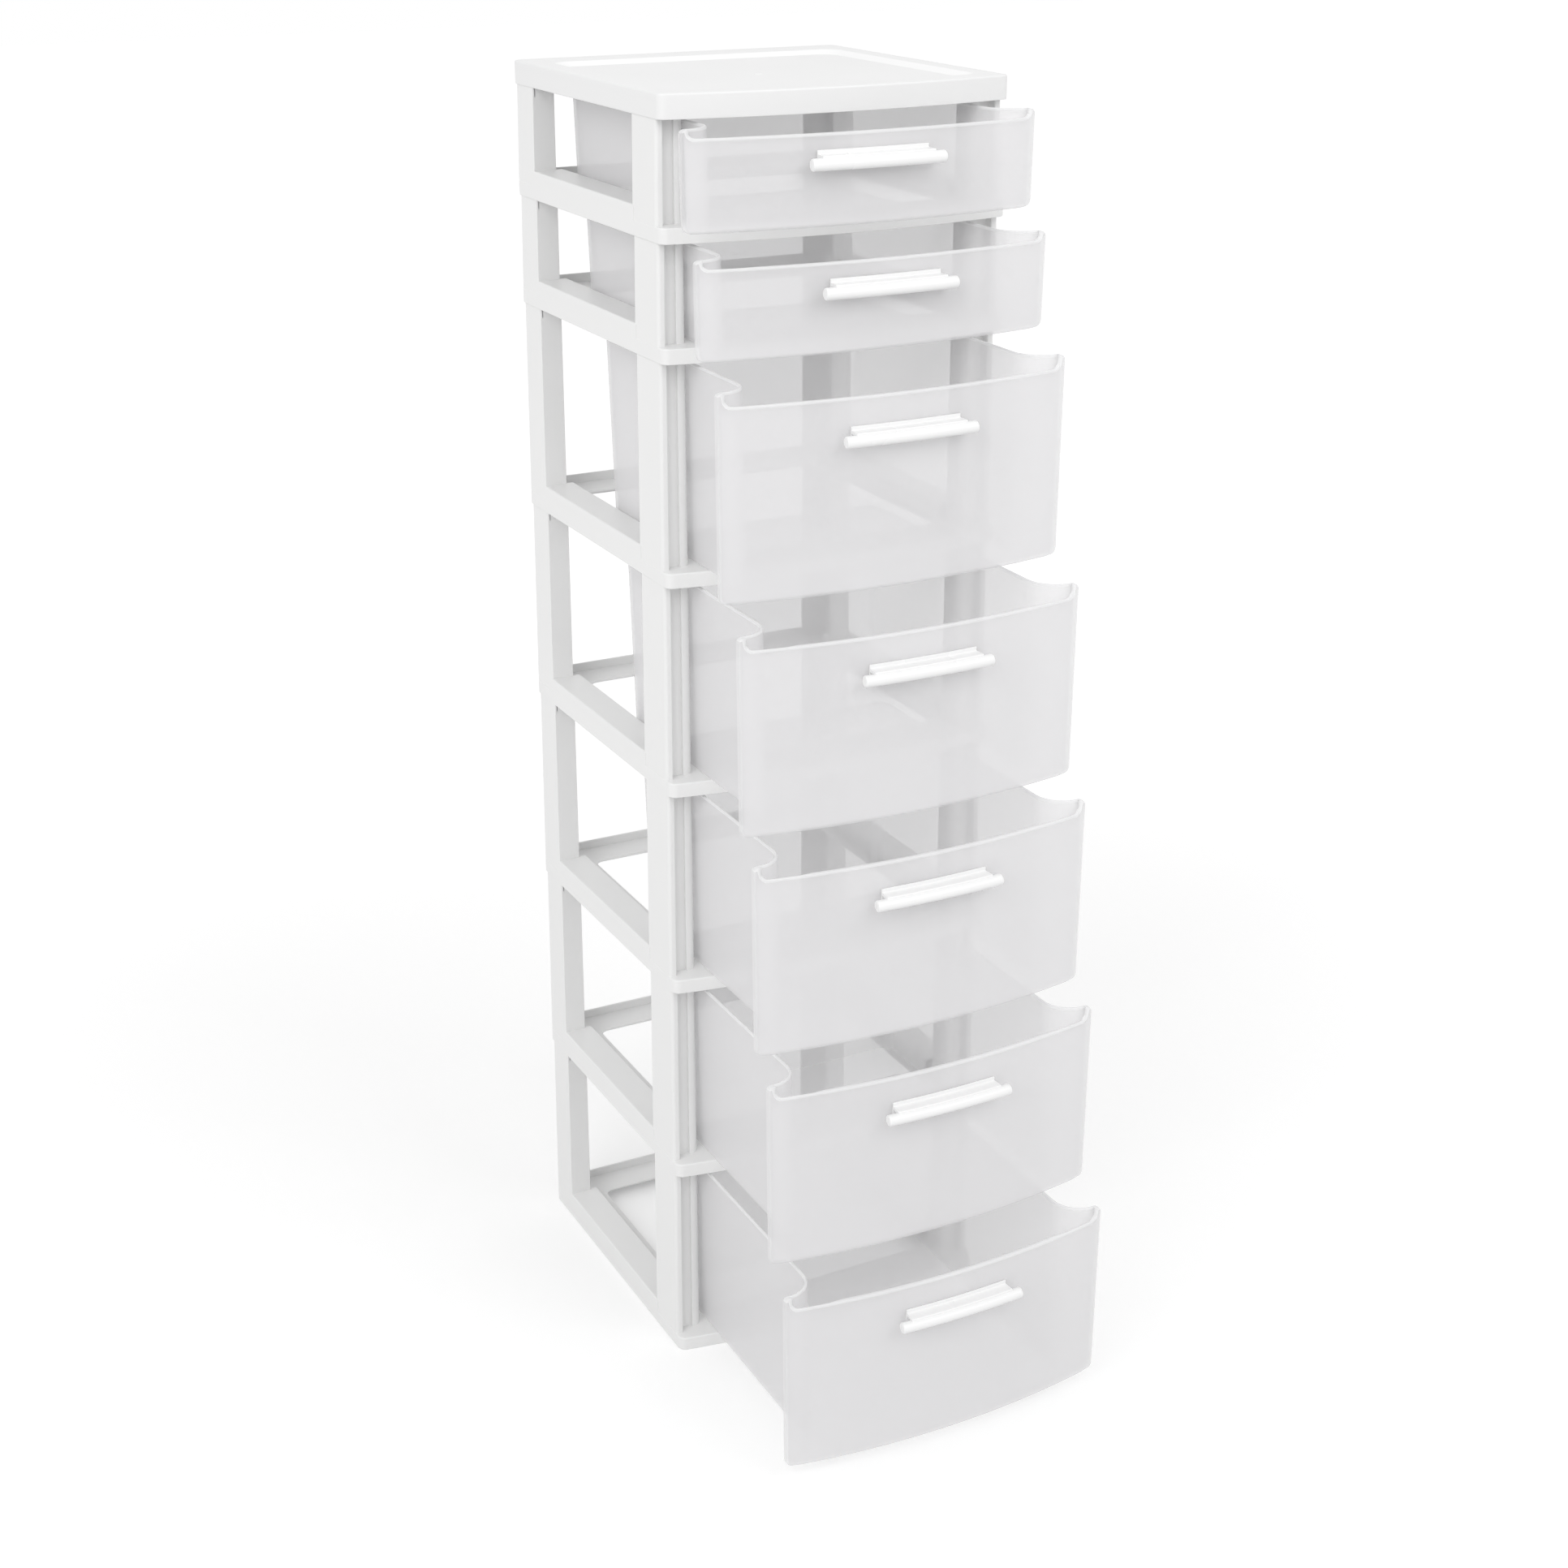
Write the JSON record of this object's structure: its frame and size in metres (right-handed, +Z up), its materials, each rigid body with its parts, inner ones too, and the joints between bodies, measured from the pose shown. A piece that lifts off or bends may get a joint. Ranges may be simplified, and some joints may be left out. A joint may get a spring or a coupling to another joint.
{
  "type": "drawer tower",
  "caption": "Tall narrow plastic drawer tower: stacked open frame tiers under a cover, each with a frosted bowed-front drawer and a bar handle.",
  "frame": {"origin": "on the floor, midway between the sides and midway along the straight side walls of the bottom tier", "axes": "+Z up; drawers open towards -Y; +X to the right when facing the back from the front"},
  "size_m": [0.32, 0.555, 1.152],
  "materials": {
    "frame_white": "satin moulded polypropylene",
    "cover_white": "satin moulded polypropylene",
    "drawer_frosted": "frosted translucent polypropylene",
    "handle_white": "glossy moulded polypropylene"
  },
  "bodies": {
    "tower": {"top_cover": "cover_white", "frame_tier_1": "frame_white", "frame_tier_2": "frame_white", "frame_tier_3": "frame_white", "frame_tier_4": "frame_white", "frame_tier_5": "frame_white", "frame_tier_6": "frame_white", "frame_tier_7": "frame_white"},
    "drawer_1": {"drawer_1": "drawer_frosted", "handle_1": "handle_white"},
    "drawer_2": {"drawer_2": "drawer_frosted", "handle_2": "handle_white"},
    "drawer_3": {"drawer_3": "drawer_frosted", "handle_3": "handle_white"},
    "drawer_4": {"drawer_4": "drawer_frosted", "handle_4": "handle_white"},
    "drawer_5": {"drawer_5": "drawer_frosted", "handle_5": "handle_white"},
    "drawer_6": {"drawer_6": "drawer_frosted", "handle_6": "handle_white"},
    "drawer_7": {"drawer_7": "drawer_frosted", "handle_7": "handle_white"}
  },
  "joints": [
    {"name": "drawer_1_slide", "type": "slide", "parent": "tower", "child": "drawer_1", "axis": [0, -1, 0], "range_m": [-0.039, 0.211]},
    {"name": "drawer_2_slide", "type": "slide", "parent": "tower", "child": "drawer_2", "axis": [0, -1, 0], "range_m": [-0.062, 0.188]},
    {"name": "drawer_3_slide", "type": "slide", "parent": "tower", "child": "drawer_3", "axis": [0, -1, 0], "range_m": [-0.098, 0.152]},
    {"name": "drawer_4_slide", "type": "slide", "parent": "tower", "child": "drawer_4", "axis": [0, -1, 0], "range_m": [-0.133, 0.117]},
    {"name": "drawer_5_slide", "type": "slide", "parent": "tower", "child": "drawer_5", "axis": [0, -1, 0], "range_m": [-0.158, 0.092]},
    {"name": "drawer_6_slide", "type": "slide", "parent": "tower", "child": "drawer_6", "axis": [0, -1, 0], "range_m": [-0.183, 0.067]},
    {"name": "drawer_7_slide", "type": "slide", "parent": "tower", "child": "drawer_7", "axis": [0, -1, 0], "range_m": [-0.213, 0.037]}
  ]
}
